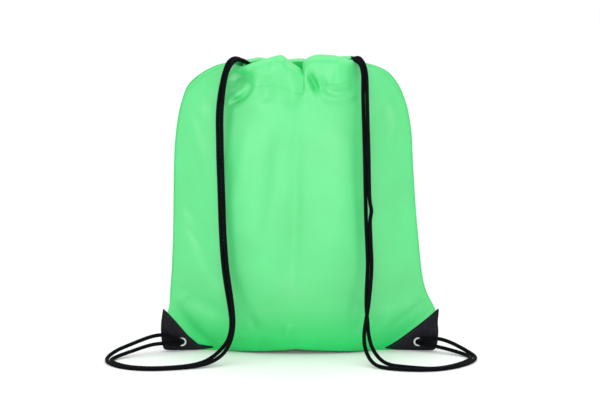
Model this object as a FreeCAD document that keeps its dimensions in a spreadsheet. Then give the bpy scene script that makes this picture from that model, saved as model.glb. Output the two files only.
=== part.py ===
import FreeCAD, Part
import math
import os

import Sketcher
from FreeCAD import Placement, Rotation, Vector

# Drawstring bag, lightly stuffed and standing on its bottom seam.
# Millimetres, +Z up, front towards -Y, origin in the middle of the base.

doc = FreeCAD.newDocument("drawstring_bag")

# Driving dimensions -------------------------------------------------------------------------

DIMENSIONS = {
    "corner_reach": 170.0,        # middle of the bag to a bottom corner
    "mouth_height": 344.0,        # floor to the lower edge of the casings
    "bulge_depth": 54.0,          # mid plane to the fullest point of the cavity
    "cloth_wall": 1.0,
    "base_wall": 2.0,
    "casing_half_length": 52.0,
    "casing_height": 28.0,
    "casing_face": 26.4,          # mid plane to a casing's outer face
    "casing_thickness": 13.9,
    "casing_fold": 3.0,           # rounding of the folded edges
    "patch_run": 61.6,            # leg of a corner patch along the floor
    "patch_rise": 50.0,           # leg of a corner patch up the side
    "patch_lean": 6.0,            # how far the upper tip leans in
    "patch_inset": 0.4,
    "patch_thickness": 1.2,
    "patch_corner": 2.0,
    "eyelet_reach": 146.0,
    "eyelet_height": 12.0,
    "eyelet_bore": 3.5,
    "barrel_radius": 4.0,
    "flange_radius": 5.4,
    "flange_thickness": 0.8,
    "curl_radius": 4.7,
    "curl_thickness": 0.4,
    "cord_diameter": 4.6,
    "cord_offset": 6.2,           # mid plane to the strands in front of an eyelet
    "strand_spacing": 5.2,
    "strand_start": 5.5,          # eyelet axis to the faces where the cord begins
    "neck_radius": 3.3,
    "knot_radius": 7.0,
    "knot_half_width": 7.6,
    "thread_width": 0.6,
    "seam_inset": 2.4,            # side edge to the seam's thread
    "hem_stitch_rise": 3.0,       # casing's lower edge to its row of stitches
    "patch_stitch_inset": 3.0,
    "bottom_seam_half_length": 96.0,
}

# Horizontal sections of one half of the bag, from the floor to the mouth, as shares of the
# mouth height, the corner reach and the bulge depth. The bulge is narrower than the cloth near
# the floor, where the corners stay flat. Fullness is the power that shapes the section.
SECTIONS = (
    # height, cloth, bulge, depth, fullness
    (0.000, 1.000, 0.612, 0.440, 1.60),
    (0.041, 0.991, 0.703, 0.610, 1.35),
    (0.093, 0.976, 0.818, 0.760, 1.15),
    (0.151, 0.962, 0.930, 0.850, 1.00),
    (0.227, 0.935, 0.912, 0.935, 0.85),
    (0.334, 0.906, 0.885, 0.990, 0.75),
    (0.465, 0.888, 0.868, 1.000, 0.75),
    (0.610, 0.874, 0.853, 0.963, 0.75),
    (0.741, 0.859, 0.838, 0.889, 0.75),
    (0.843, 0.838, 0.818, 0.787, 0.75),
    (0.924, 0.794, 0.774, 0.660, 0.75),
    (1.000, 0.694, 0.674, 0.470, 0.75),
)
SECTION_SPANS = 12                # curve spans across one section
CAVITY_SHARE = 0.93               # of the bulge that is hollow; the rest is seam allowance

# Route of the left cord's middle line: from the eyelet over the floor and up the front, over the
# casing's end, through the front casing, round and back through the rear casing, then down again.
LEFT_CORD = (
    (-151.5, -6.2, 14.6), (-159.5, -6.4, 18.5), (-170.5, -8, 22.5), (-184.5, -14, 21),
    (-198, -23, 17.5), (-211.5, -31.5, 13.5), (-224.5, -39, 9.5), (-234.5, -49.5, 4),
    (-235.6, -66, 2.4), (-229.5, -85, 2.4), (-216.5, -101.8, 2.4), (-198, -112.5, 2.4),
    (-175, -114.7, 2.4), (-151, -109.7, 2.4), (-127.5, -101.3, 2.5), (-106.5, -91.5, 5.5),
    (-91, -79.5, 14.5), (-82, -67.5, 29.5), (-80.2, -57.5, 46), (-82.8, -50.5, 64),
    (-87.2, -46.8, 90), (-90.9, -45.3, 118), (-92.4, -44.5, 151), (-92.2, -43.8, 175),
    (-92.4, -42.6, 200), (-92.9, -41, 222), (-93.9, -39.2, 245), (-94.9, -36.3, 272),
    (-95.4, -33.7, 298), (-93.4, -31, 322), (-89.5, -27.5, 343), (-85.5, -23.5, 356),
    (-77.5, -19.5, 365), (-67, -17, 368.5), (-56, -16.6, 366), (-45, -16.7, 362),
    (-29, -16.5, 359.7), (-7, -16.4, 357), (17, -16.5, 354.5), (40, -16.7, 352.7),
    (62.9, -16.7, 352),
    (72.7, -6.9, 351.5), (72.7, 6.9, 351.5), (62.9, 16.7, 352), (40, 16.7, 352.3),
    (13, 16.4, 353), (-16, 16.5, 354.5), (-38, 16.7, 357), (-56, 16.5, 361.5),
    (-67, 13, 366), (-76, 5, 369.3), (-83, -5, 370.3), (-88.5, -15, 367.5),
    (-93, -23, 358.5), (-96, -28, 346), (-98.6, -31, 322), (-100.6, -33.3, 298),
    (-100.1, -35.8, 272), (-99.1, -38.5, 245), (-98.1, -40.5, 222), (-97.6, -42, 200),
    (-97.6, -43, 175), (-97.6, -43.7, 151), (-96.1, -44.7, 118), (-92.8, -46.2, 90),
    (-88.2, -49.5, 64), (-85.8, -56.5, 44.5), (-90, -66.5, 27), (-101, -76.8, 12.5),
    (-115.5, -86.2, 5), (-133, -95.8, 2.5), (-153, -104.3, 2.4), (-174.5, -109.3, 2.4),
    (-194.5, -107, 2.4), (-211, -98, 2.4), (-223.5, -82.8, 2.4), (-230, -66, 2.4),
    (-228.5, -53.5, 2.5), (-220, -43.5, 4.2), (-207.5, -33.5, 6.6), (-195, -23.5, 9.2),
    (-182.5, -13.5, 11), (-168, -8, 11.5), (-159, -6.4, 10.2), (-151.5, -6.2, 9.4),
)

# Route of the right cord's middle line, in the same order. Its two strands cross near the floor.
RIGHT_CORD = (
    (151.5, -6.2, 14.6), (159.5, -6.4, 17), (172, -8.5, 17.5), (185.5, -13, 14.5),
    (199, -18, 9.5), (211.5, -24.5, 4.5), (219.5, -36.5, 2.4), (219.5, -52, 2.4),
    (214.5, -68, 2.4), (204.5, -85, 2.4), (192.5, -99.5, 2.4), (177.2, -111, 2.4),
    (160, -117.8, 2.4), (141, -118.5, 2.4), (122, -115.5, 2.4), (105, -108.5, 2.4),
    (92, -97.5, 2.9), (84, -86, 8.5), (79.5, -75, 20), (78.5, -66.5, 35),
    (80.5, -60, 50), (83.5, -54.5, 63), (85.8, -50.5, 78), (87.5, -48, 95),
    (89.5, -47, 118), (88.8, -46.5, 140), (88, -46.5, 165), (89.5, -46, 188),
    (87.6, -44.8, 220), (84.6, -43, 251), (83.6, -40, 282), (83.6, -37, 306),
    (83.6, -33.5, 330), (83.4, -28, 349), (82.5, -19.5, 361.5), (80.5, -8.5, 368.5),
    (77, 2.5, 370), (70.5, 13, 368), (61.5, 20, 363.5), (48, 22.2, 359),
    (24, 22.1, 356.5), (-4, 22, 354), (-33, 22.2, 352.5), (-59.2, 22.2, 352),
    (-72.2, 9.2, 351.5), (-72.2, -9.2, 351.5), (-59.2, -22.2, 352), (-35, -22.3, 352.5),
    (-5, -22, 354.5), (24, -22.1, 358), (45, -22.2, 362.5), (56, -22.3, 366),
    (66.5, -23.5, 365), (74, -26, 358), (77.5, -29, 346), (78.6, -31.5, 329),
    (78.4, -34.5, 307), (78.4, -39.5, 282), (79.4, -43.2, 251), (80.2, -45.2, 226),
    (80.6, -46.3, 200), (81.2, -46.6, 170), (83.5, -46.3, 142), (84.4, -46.5, 118),
    (82.5, -46.8, 95), (80.8, -47.5, 78), (81.5, -49.5, 62), (84.5, -54, 48),
    (87, -62, 33), (90.5, -71.5, 18), (97, -82, 7), (108.5, -91.5, 2.6),
    (125, -98.5, 2.4), (143, -107, 2.4), (159, -111.5, 2.4), (174.8, -105.2, 2.4),
    (188.5, -94, 2.4), (199, -81, 2.4), (209, -66, 2.4), (213, -52.5, 2.4),
    (213.3, -41, 2.4), (208, -31.5, 2.8), (198.5, -25, 4.2), (187, -19.5, 5.8),
    (175, -13, 7.2), (163, -7.8, 8.4), (151.5, -6.2, 9.4),
)
ARC_SHARE = 0.45                  # of the shorter run beside a point that its arc takes up
SWEEP_TOLERANCE = 0.01            # of section times length


def fill_sheet():
    """The sheet that holds every driving dimension under its own alias."""
    sheet = doc.addObject("Spreadsheet::Sheet", "dimensions")
    for row, (alias, value) in enumerate(DIMENSIONS.items(), start=1):
        sheet.set(f"A{row}", alias)
        sheet.set(f"B{row}", str(value))
        sheet.setAlias(f"B{row}", alias)
    doc.recompute()
    return sheet


sheet = fill_sheet()


def size(alias):
    return float(sheet.get(alias))


def bind(target, **expressions):
    """Binds each named property to an expression over the sheet's aliases."""
    for name, expression in expressions.items():
        target.setExpression(name.replace("__", "."), expression)


def feature(label, shape):
    """A sub-part whose shape is made by Part's own functions."""
    made = doc.addObject("Part::Feature", label)
    made.Label = label
    made.Shape = shape
    made.Placement = Placement(Vector(0, 0, 0), Rotation())
    return made


# Panels -------------------------------------------------------------------------------------


def section_sizes(row):
    height, cloth, bulge, depth, fullness = row
    return (
        height * size("mouth_height"),
        cloth * size("corner_reach"),
        bulge * size("corner_reach"),
        depth * size("bulge_depth"),
        fullness,
    )


def bulge_curve(row, share, wall, height):
    """The front of one section: a flattened lens, wall proud of the cavity."""
    _, _, bulge, depth, fullness = section_sizes(row)
    points = []
    for step in range(SECTION_SPANS + 1):
        across = share * math.sin(math.pi * (step / SECTION_SPANS - 0.5))
        inward = depth * (1 - across * across) ** fullness
        points.append(Vector(bulge * across, -wall - inward, height))
    curve = Part.BSplineCurve()
    curve.interpolate(points)
    return points, curve.toShape()


def closed_section(corners_before, row, share, wall, height, corners_after):
    """A section's wire: the curve, closed by straight edges through the given corners."""
    points, curve = bulge_curve(row, share, wall, height)
    ends = [*corners_before, points[0]]
    edges = [Part.LineSegment(a, b).toShape() for a, b in zip(ends, ends[1:])]
    edges.append(curve)
    starts = [points[-1], *corners_after, ends[0]]
    edges += [Part.LineSegment(a, b).toShape() for a, b in zip(starts, starts[1:])]
    return Part.Wire(edges)


def outer_section(row):
    height, cloth, _, _, _ = section_sizes(row)
    wall = size("cloth_wall")
    before = (Vector(-cloth, 0, height), Vector(-cloth, -wall, height))
    after = (Vector(cloth, -wall, height), Vector(cloth, 0, height))
    return closed_section(before, row, 1.0, wall, height, after)


def cavity_section(row, height):
    bulge = section_sizes(row)[2] * CAVITY_SHARE
    before = (Vector(-bulge, 0, height),)
    after = (Vector(bulge, 0, height),)
    return closed_section(before, row, CAVITY_SHARE, 0.0, height, after)


def half_bag():
    """The front half: flat corners, a bulging front and a hollow that is open at the mouth."""
    outer = Part.makeLoft([outer_section(row) for row in SECTIONS], True, True)
    heights = [section_sizes(row)[0] for row in SECTIONS]
    heights[0] = size("base_wall")
    hollow = [cavity_section(row, height) for row, height in zip(SECTIONS, heights)]
    overshoot = heights[-1] + size("base_wall")
    hollow.append(cavity_section(SECTIONS[-1], overshoot))
    return outer.cut(Part.makeLoft(hollow, True, True))


def eyelet_hole(side):
    reach = size("corner_reach")
    start = Vector(side * size("eyelet_reach"), -reach, size("eyelet_height"))
    return Part.makeCylinder(size("barrel_radius"), 2 * reach, start, Vector(0, 1, 0))


def side_seam_strip(side):
    """A narrow strip that follows the side edge inside its seam."""
    width = size("thread_width")
    outer = []
    for row in SECTIONS:
        height, cloth, _, _, _ = section_sizes(row)
        outer.append(Vector(side * (cloth - size("seam_inset")), -width / 2, height))
    lowest = size("patch_rise")
    outer = [point for point in outer if point.z > lowest]
    inner = [point - Vector(side * width, 0, 0) for point in reversed(outer)]
    face = Part.Face(Part.makePolygon([*outer, *inner, outer[0]]))
    return face.extrude(Vector(0, width, 0))


def make_panels():
    half = half_bag()
    for side in (-1, 1):
        half = half.cut(eyelet_hole(side))
        half = half.cut(side_seam_strip(side))
        feature(f"{'left' if side < 0 else 'right'}_side_seam_thread", side_seam_strip(side))
    feature("front_panel", half)
    feature("back_panel", half.mirror(Vector(0, 0, 0), Vector(0, 1, 0)))


# Casings ------------------------------------------------------------------------------------


def make_box(name, **sizes):
    box = doc.addObject("Part::Box", name)
    bind(box, **sizes)
    return box


def make_casing(label, toward_back):
    """The folded hem: a flat tunnel that is open at both ends."""
    outer = make_box(
        f"{label}_outside",
        Length="2 * dimensions.casing_half_length",
        Width="dimensions.casing_thickness",
        Height="dimensions.casing_height",
    )
    tunnel = make_box(
        f"{label}_tunnel",
        Length="2 * dimensions.casing_half_length + 2 * dimensions.cloth_wall",
        Width="dimensions.casing_thickness - 2 * dimensions.cloth_wall",
        Height="dimensions.casing_height - 2 * dimensions.cloth_wall",
    )
    near = "dimensions.casing_face - dimensions.casing_thickness" if toward_back else "-dimensions.casing_face"
    bind(
        outer,
        Placement__Base__x="-dimensions.casing_half_length",
        Placement__Base__y=near,
        Placement__Base__z="dimensions.mouth_height",
    )
    bind(
        tunnel,
        Placement__Base__x="-dimensions.casing_half_length - dimensions.cloth_wall",
        Placement__Base__y=f"{near} + dimensions.cloth_wall",
        Placement__Base__z="dimensions.mouth_height + dimensions.cloth_wall",
    )
    doc.recompute()
    rounded = doc.addObject("Part::Fillet", f"{label}_folds")
    rounded.Base = outer
    top = size("mouth_height") + size("casing_height")
    folds = []
    for index, edge in enumerate(outer.Shape.Edges, start=1):
        box = edge.BoundBox
        if box.XLength > size("casing_half_length") and box.ZMin > top - size("cloth_wall"):
            folds.append((index, size("casing_fold"), size("casing_fold")))
    rounded.Edges = folds
    casing = doc.addObject("Part::Cut", label)
    casing.Label = label
    casing.Base = rounded
    casing.Tool = tunnel

    thread = make_box(
        f"{label}_thread",
        Length="2 * (dimensions.casing_half_length - dimensions.cloth_wall)",
        Width="dimensions.thread_width",
        Height="dimensions.thread_width",
    )
    thread.Label = f"{label}_thread"
    row = "dimensions.casing_face" if toward_back else "-dimensions.casing_face - dimensions.thread_width"
    bind(
        thread,
        Placement__Base__x="-dimensions.casing_half_length + dimensions.cloth_wall",
        Placement__Base__y=row,
        Placement__Base__z="dimensions.mouth_height + dimensions.hem_stitch_rise",
    )


def make_bottom_thread():
    thread = make_box(
        "bottom_seam_thread",
        Length="2 * dimensions.bottom_seam_half_length",
        Width="dimensions.thread_width",
        Height="dimensions.thread_width",
    )
    bind(
        thread,
        Placement__Base__x="-dimensions.bottom_seam_half_length",
        Placement__Base__y="-dimensions.thread_width / 2",
        Placement__Base__z="dimensions.base_wall",
    )


# Corner patches and eyelets -----------------------------------------------------------------


def make_body(label):
    body = doc.addObject("PartDesign::Body", label)
    body.Label = label
    return body


def make_sketch(body, role):
    sketch = body.newObject("Sketcher::SketchObject", f"{body.Name}_sketch")
    plane = next(each for each in body.Origin.OriginFeatures if each.Role == role)
    sketch.AttachmentSupport = (plane, [""])
    sketch.MapMode = "FlatFace"
    return sketch


def draw_outline(sketch, corners):
    """Closed straight outline; each corner is a pair of expressions, across and up the sketch."""
    values = [[float(sketch.evalExpression(each)) for each in corner] for corner in corners]
    spots = [Vector(across, up, 0) for across, up in values]
    for start, end in zip(spots, [*spots[1:], spots[0]]):
        sketch.addGeometry(Part.LineSegment(start, end), False)
    for index, corner in enumerate(corners):
        following = (index + 1) % len(corners)
        sketch.addConstraint(Sketcher.Constraint("Coincident", index, 2, following, 1))
        place_point(sketch, index, 1, corner)


def place_point(sketch, geometry, point, corner):
    """Ties one point of a sketch to a pair of expressions, or to an axis where one is 0."""
    for kind, axis, expression in zip(("DistanceX", "DistanceY"), (-2, -1), corner):
        if expression == "0":
            sketch.addConstraint(Sketcher.Constraint("PointOnObject", geometry, point, axis))
            continue
        value = float(sketch.evalExpression(expression))
        constraint = Sketcher.Constraint(kind, -1, 1, geometry, point, value)
        number = sketch.addConstraint(constraint)
        sketch.setExpression(f"Constraints[{number}]", expression)


def draw_circle(sketch, centre, radius):
    spot = Vector(*(float(sketch.evalExpression(each)) for each in centre), 0)
    value = float(sketch.evalExpression(radius))
    circle = sketch.addGeometry(Part.Circle(spot, Vector(0, 0, 1), value), False)
    number = sketch.addConstraint(Sketcher.Constraint("Radius", circle, value))
    sketch.setExpression(f"Constraints[{number}]", radius)
    place_point(sketch, circle, 3, centre)


def make_patch(label, toward_back, turned):
    """A three-cornered patch with an eyelet hole; turned puts it on the left of the bag."""
    body = make_body(label)
    sketch = make_sketch(body, "XZ_Plane")
    draw_outline(
        sketch,
        (
            ("dimensions.corner_reach - dimensions.patch_inset", "0"),
            (
                "dimensions.corner_reach - dimensions.patch_inset - dimensions.patch_lean",
                "dimensions.patch_rise",
            ),
            ("dimensions.corner_reach - dimensions.patch_run", "0"),
        ),
    )
    draw_circle(
        sketch,
        ("dimensions.eyelet_reach", "dimensions.eyelet_height"),
        "dimensions.barrel_radius",
    )
    pad = body.newObject("PartDesign::Pad", f"{label}_pad")
    pad.Profile = sketch
    pad.Reversed = toward_back
    bind(pad, Length="dimensions.patch_thickness")
    doc.recompute()
    corners = [
        f"Edge{index}"
        for index, edge in enumerate(pad.Shape.Edges, start=1)
        if max(edge.BoundBox.XLength, edge.BoundBox.ZLength) < size("patch_inset")
    ]
    rounding = body.newObject("PartDesign::Fillet", f"{label}_corners")
    rounding.Base = (pad, corners)
    bind(rounding, Radius="dimensions.patch_corner")
    body.Tip = rounding
    away = 1 if toward_back else -1
    if turned:
        body.Placement = Placement(Vector(0, 0, 0), Rotation(Vector(0, 0, 1), 180))
        away = -away
    bind(body, Placement__Base__y=f"{away} * dimensions.cloth_wall")


def make_patch_thread(label, side, away):
    """The row of stitches that runs along a patch's slanting edge, as one thin bar."""
    thread = make_box(
        label,
        Length="sqrt(pow(dimensions.patch_run - dimensions.patch_lean; 2)"
        " + pow(dimensions.patch_rise; 2)) - 4 * dimensions.patch_stitch_inset",
        Width="dimensions.thread_width",
        Height="dimensions.thread_width",
    )
    doc.recompute()
    run = size("patch_run") - size("patch_lean") - size("patch_inset")
    slope = math.atan2(size("patch_rise"), run)
    along = Vector(math.cos(slope), 0, math.sin(slope))
    inward = Vector(math.sin(slope), 0, -math.cos(slope))
    foot = Vector(size("corner_reach") - size("patch_run"), 0, 0)
    start = foot + (along * 2 + inward) * size("patch_stitch_inset")
    skin = size("cloth_wall") + size("patch_thickness")
    width = size("thread_width")
    start.y = skin if away > 0 else -skin - width
    turn = Rotation(Vector(0, -1, 0), math.degrees(slope))
    if side < 0:
        end = start + along * float(thread.Length)
        start = Vector(-end.x, end.y, end.z)
        turn = turn.inverted()
    thread.Placement = Placement(start, turn)


STACK = "(dimensions.cloth_wall + dimensions.patch_thickness)"
FLANGE = f"({STACK} + dimensions.flange_thickness)"
CURL = f"({FLANGE} + dimensions.curl_thickness)"


def revolve(label, corners):
    """A ring about the Y axis from corners given as (radius, distance along Y)."""
    body = make_body(label)
    sketch = make_sketch(body, "XY_Plane")
    draw_outline(sketch, corners)
    ring = body.newObject("PartDesign::Revolution", f"{label}_ring")
    ring.Profile = sketch
    ring.ReferenceAxis = (sketch, ["V_Axis"])
    ring.Angle = 360
    body.Tip = ring
    return body


def make_eyelet(name, side):
    barrel = revolve(
        f"{name}_eyelet",
        (
            ("dimensions.eyelet_bore", f"-{FLANGE}"),
            ("dimensions.flange_radius", f"-{FLANGE}"),
            ("dimensions.flange_radius", f"-{STACK}"),
            ("dimensions.barrel_radius", f"-{STACK}"),
            ("dimensions.barrel_radius", FLANGE),
            ("dimensions.curl_radius", FLANGE),
            ("dimensions.curl_radius", CURL),
            ("dimensions.eyelet_bore", CURL),
        ),
    )
    washer = revolve(
        f"{name}_eyelet_washer",
        (
            ("dimensions.barrel_radius", STACK),
            ("dimensions.flange_radius", STACK),
            ("dimensions.flange_radius", FLANGE),
            ("dimensions.barrel_radius", FLANGE),
        ),
    )
    for body in (barrel, washer):
        bind(
            body,
            Placement__Base__x=f"{side} * dimensions.eyelet_reach",
            Placement__Base__z="dimensions.eyelet_height",
        )


# Knots and cords ----------------------------------------------------------------------------


def make_knot(label, side):
    """A knob behind the eyelet, its neck through the bore and the two strands' first stubs."""
    centre_x = f"{side} * dimensions.eyelet_reach"
    knob = doc.addObject("Part::Ellipsoid", f"{label}_knob")
    bind(
        knob,
        Radius1="dimensions.knot_radius",
        Radius2="dimensions.knot_half_width",
        Radius3="dimensions.knot_radius",
        Placement__Base__x=centre_x,
        Placement__Base__y=f"{CURL} + dimensions.knot_radius",
        Placement__Base__z="dimensions.eyelet_height",
    )
    neck = doc.addObject("Part::Cylinder", f"{label}_neck")
    neck.Placement = Placement(Vector(0, 0, 0), Rotation(Vector(1, 0, 0), 90))
    bind(
        neck,
        Radius="dimensions.neck_radius",
        Height=f"{CURL} + dimensions.knot_radius + dimensions.cord_offset + dimensions.cord_diameter / 2",
        Placement__Base__x=centre_x,
        Placement__Base__y=f"{CURL} + dimensions.knot_radius",
        Placement__Base__z="dimensions.eyelet_height",
    )
    parts = [knob, neck]
    for name, direction in (("upper", 1), ("lower", -1)):
        stub = doc.addObject("Part::Cylinder", f"{label}_{name}_stub")
        stub.Placement = Placement(Vector(0, 0, 0), Rotation(Vector(0, 1, 0), side * 90))
        bind(
            stub,
            Radius="dimensions.cord_diameter / 2",
            Height="dimensions.strand_start",
            Placement__Base__x=centre_x,
            Placement__Base__y="-dimensions.cord_offset",
            Placement__Base__z=f"dimensions.eyelet_height + {direction} * dimensions.strand_spacing / 2",
        )
        parts.append(stub)
    knot = doc.addObject("Part::MultiFuse", label)
    knot.Label = label
    knot.Shapes = parts


def cord_path(points):
    """Straight runs joined by tangent arcs, with the arcs' radii."""
    edges = []
    radii = []
    start = points[0]
    for before, here, after in zip(points, points[1:], points[2:]):
        arriving = here - before
        leaving = after - here
        turn = arriving.getAngle(leaving)
        reach = ARC_SHARE * min(arriving.Length, leaving.Length)
        radius = reach / math.tan(turn / 2)
        arriving.normalize()
        leaving.normalize()
        inside = leaving - arriving
        inside.normalize()
        arc_start = here - arriving * reach
        arc_end = here + leaving * reach
        middle = here + inside * (radius / math.cos(turn / 2) - radius)
        edges.append(Part.LineSegment(start, arc_start).toShape())
        edges.append(Part.Arc(arc_start, middle, arc_end).toShape())
        radii.append(radius)
        start = arc_end
    edges.append(Part.LineSegment(start, points[-1]).toShape())
    return Part.Wire(edges), radii


def make_cord(label, route):
    points = [Vector(*point) for point in route]
    path, radii = cord_path(points)
    radius = size("cord_diameter") / 2
    circle = Part.Wire(Part.Circle(points[0], points[1] - points[0], radius).toShape())
    tube = path.makePipeShell([circle], True, False)
    expected = math.pi * radius * radius * path.Length
    if abs(tube.Volume - expected) > SWEEP_TOLERANCE * expected:
        raise RuntimeError(f"{label}: volume {tube.Volume:.0f}, expected {expected:.0f}")
    print(f"{label}: length {path.Length:.0f} mm, tightest arcs", end=" ")
    print([round(each, 1) for each in sorted(radii)[:6]])
    feature(label, tube)


# The whole bag ------------------------------------------------------------------------------

make_panels()
make_casing("front_casing", toward_back=False)
make_casing("back_casing", toward_back=True)
make_bottom_thread()
for side_name, side_sign in (("left", -1), ("right", 1)):
    left = side_sign < 0
    # A turned patch swaps front and back.
    make_patch(f"{side_name}_front_patch", toward_back=left, turned=left)
    make_patch(f"{side_name}_back_patch", toward_back=not left, turned=left)
    make_patch_thread(f"{side_name}_front_patch_thread", side_sign, away=-1)
    make_patch_thread(f"{side_name}_back_patch_thread", side_sign, away=1)
    make_eyelet(side_name, side_sign)
    make_knot(f"{side_name}_cord_knot", side_sign)
make_cord("left_cord", LEFT_CORD)
make_cord("right_cord", RIGHT_CORD)
doc.recompute()

NODES = (
    "front_panel",
    "back_panel",
    "front_casing",
    "back_casing",
    "front_casing_thread",
    "back_casing_thread",
    "bottom_seam_thread",
    *(
        f"{side_name}_{part}"
        for side_name in ("left", "right")
        for part in (
            "side_seam_thread",
            "front_patch",
            "back_patch",
            "front_patch_thread",
            "back_patch_thread",
            "eyelet",
            "eyelet_washer",
            "cord",
            "cord_knot",
        )
    ),
)


def check_and_write():
    """Stops on any failed object or bad shape, then writes one file for each sub-part."""
    for each in doc.Objects:
        if "Invalid" in each.State or "Error" in each.State:
            raise RuntimeError(f"{each.Name}: {each.State}")
    shapes = {}
    for node in NODES:
        shape = doc.getObjectsByLabel(node)[0].Shape
        if shape.isNull() or not shape.isValid() or shape.Volume <= 0:
            raise RuntimeError(f"{node}: bad shape")
        shapes[node] = shape
    os.makedirs("parts", exist_ok=True)
    for node, shape in shapes.items():
        shape.exportStep(f"parts/{node}.step")
    print(len(shapes), "nodes written")


check_and_write()
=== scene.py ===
import math

import bmesh
import bpy
import numpy as np
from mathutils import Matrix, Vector
from mathutils.bvhtree import BVHTree


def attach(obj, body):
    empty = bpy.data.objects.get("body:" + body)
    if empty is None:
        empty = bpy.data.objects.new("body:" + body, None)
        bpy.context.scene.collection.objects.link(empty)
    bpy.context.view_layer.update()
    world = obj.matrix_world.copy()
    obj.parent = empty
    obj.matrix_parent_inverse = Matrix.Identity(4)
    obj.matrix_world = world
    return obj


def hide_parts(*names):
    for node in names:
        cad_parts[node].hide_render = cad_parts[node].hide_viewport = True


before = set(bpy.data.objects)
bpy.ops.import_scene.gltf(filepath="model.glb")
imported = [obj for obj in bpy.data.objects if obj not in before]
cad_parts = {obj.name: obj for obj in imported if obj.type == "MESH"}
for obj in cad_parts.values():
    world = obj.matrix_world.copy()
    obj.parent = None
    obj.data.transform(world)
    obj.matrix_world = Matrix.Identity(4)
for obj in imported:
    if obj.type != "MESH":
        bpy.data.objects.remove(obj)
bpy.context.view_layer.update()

# A drawstring bag of light nylon, lightly stuffed and standing on its bottom seam, with a
# braided cord on each side. Metres, +Z up, front towards -Y, as in the CAD frame.

MM = 0.001
SCENE = bpy.context.scene


def mm(points):
    """Points given in millimetres, as an array in metres."""
    return np.array(points, float) * MM


def smoothstep(low, high, value):
    share = np.clip((value - low) / (high - low), 0.0, 1.0)
    return share * share * (3 - 2 * share)


def unit(vectors):
    lengths = np.linalg.norm(vectors, axis=-1, keepdims=True)
    return vectors / np.maximum(lengths, 1e-12)


def distances_along(line):
    """How far along a line each of its points is."""
    steps = np.linalg.norm(np.diff(line, axis=0), axis=1)
    return np.concatenate([[0], np.cumsum(steps)])


def read_line(line, values, wanted):
    """A line's places at the wanted values, when values says what each of its points has."""
    return np.stack([np.interp(wanted, values, axis) for axis in line.T], -1)


def ring_band(lower, upper, count):
    """Faces between two rings of count vertices, given by the first vertex of each."""
    pairs = [(k, (k + 1) % count) for k in range(count)]
    return [(lower + a, lower + b, upper + b, upper + a) for a, b in pairs]


def new_mesh(name, verts, faces, smooth=True, uvs=None):
    """A mesh object; uvs, where given, has one pair for each vertex."""
    mesh = bpy.data.meshes.new(name)
    mesh.from_pydata([tuple(v) for v in verts], [], faces)
    mesh.update()
    mesh.polygons.foreach_set("use_smooth", [smooth] * len(mesh.polygons))
    if uvs is not None:
        corners = np.zeros(len(mesh.loops), int)
        mesh.loops.foreach_get("vertex_index", corners)
        layer = mesh.uv_layers.new(name="flat")
        layer.data.foreach_set("uv", np.asarray(uvs, float)[corners].ravel())
    piece = bpy.data.objects.new(name, mesh)
    SCENE.collection.objects.link(piece)
    return piece


def apply_modifiers(piece):
    """Makes the modified shape the piece's own mesh."""
    shaped = piece.evaluated_get(bpy.context.evaluated_depsgraph_get())
    mesh = bpy.data.meshes.new_from_object(shaped)
    old = piece.data
    piece.modifiers.clear()
    piece.data = mesh
    bpy.data.meshes.remove(old)
    mesh.name = piece.name


def finish_piece(piece, materials, slot, *nodes):
    """Gives a piece its finish, hangs it under the root body and hides the CAD nodes it stands for."""
    sides = [face.material_index for face in piece.data.polygons]
    piece.data.materials.clear()
    for material in materials if isinstance(materials, tuple) else (materials,):
        piece.data.materials.append(material)
    piece.data.polygons.foreach_set("material_index", sides)
    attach(piece, "root")
    if nodes:
        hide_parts(*nodes)
    return piece


# Shader nodes -------------------------------------------------------------------------------


def feed(tree, node, inputs):
    """Fills a node's inputs, each with a plain value or from another node's output."""
    for key, value in inputs.items():
        if isinstance(value, bpy.types.NodeSocket):
            tree.links.new(value, node.inputs[key])
        else:
            node.inputs[key].default_value = value
    return node


def add_node(tree, kind, inputs):
    return feed(tree, tree.nodes.new("ShaderNode" + kind), inputs)


def add_noise(tree, place, scale, detail, roughness):
    inputs = {"Vector": place, "Scale": scale, "Detail": detail, "Roughness": roughness}
    return add_node(tree, "TexNoise", inputs).outputs["Fac"]


def add_wave(tree, place, scale, direction, distortion):
    wave = add_node(tree, "TexWave", {
        "Vector": place, "Scale": scale, "Distortion": distortion, "Detail": 1.0, "Detail Scale": 3.0,
    })
    wave.wave_type = "BANDS"
    wave.wave_profile = "SIN"
    wave.bands_direction = direction
    return wave.outputs["Fac"]


def add_math(tree, operation, first, second):
    node = add_node(tree, "Math", {0: first, 1: second})
    node.operation = operation
    return node.outputs[0]


def add_sum(tree, total, *terms):
    """A starting value with some outputs added to it, each times its weight."""
    for value, weight in terms:
        total = add_math(tree, "ADD", add_math(tree, "MULTIPLY", value, weight), total)
    return total


def add_range(tree, value, *ends):
    """A value carried from one range (two ends) to another (two more), and held at its ends."""
    inputs = dict(zip(("From Min", "From Max", "To Min", "To Max"), ends))
    return add_node(tree, "MapRange", {"Value": value, **inputs}).outputs["Result"]


def add_ramp(tree, value, stops):
    """A colour ramp through stops, each a position and a colour."""
    ramp = add_node(tree, "ValToRGB", {"Fac": value})
    elements = ramp.color_ramp.elements
    while len(elements) < len(stops):
        elements.new(0.5)
    for element, (position, colour) in zip(elements, stops):
        element.position = position
        element.color = (*colour, 1)
    return ramp.outputs["Color"]


def add_bump(tree, height, distance, strength, after=None):
    inputs = {"Height": height, "Distance": distance, "Strength": strength}
    if after is not None:
        inputs["Normal"] = after
    return add_node(tree, "Bump", inputs).outputs["Normal"]


def start_material(name):
    """A new material, its node tree, its shader and the outputs that say where a point is."""
    material = bpy.data.materials.new(name)
    material.use_nodes = True
    tree = material.node_tree
    places = tree.nodes.new("ShaderNodeTexCoord").outputs
    return material, tree, tree.nodes["Principled BSDF"], places


# Camera, floor and light --------------------------------------------------------------------

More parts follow.
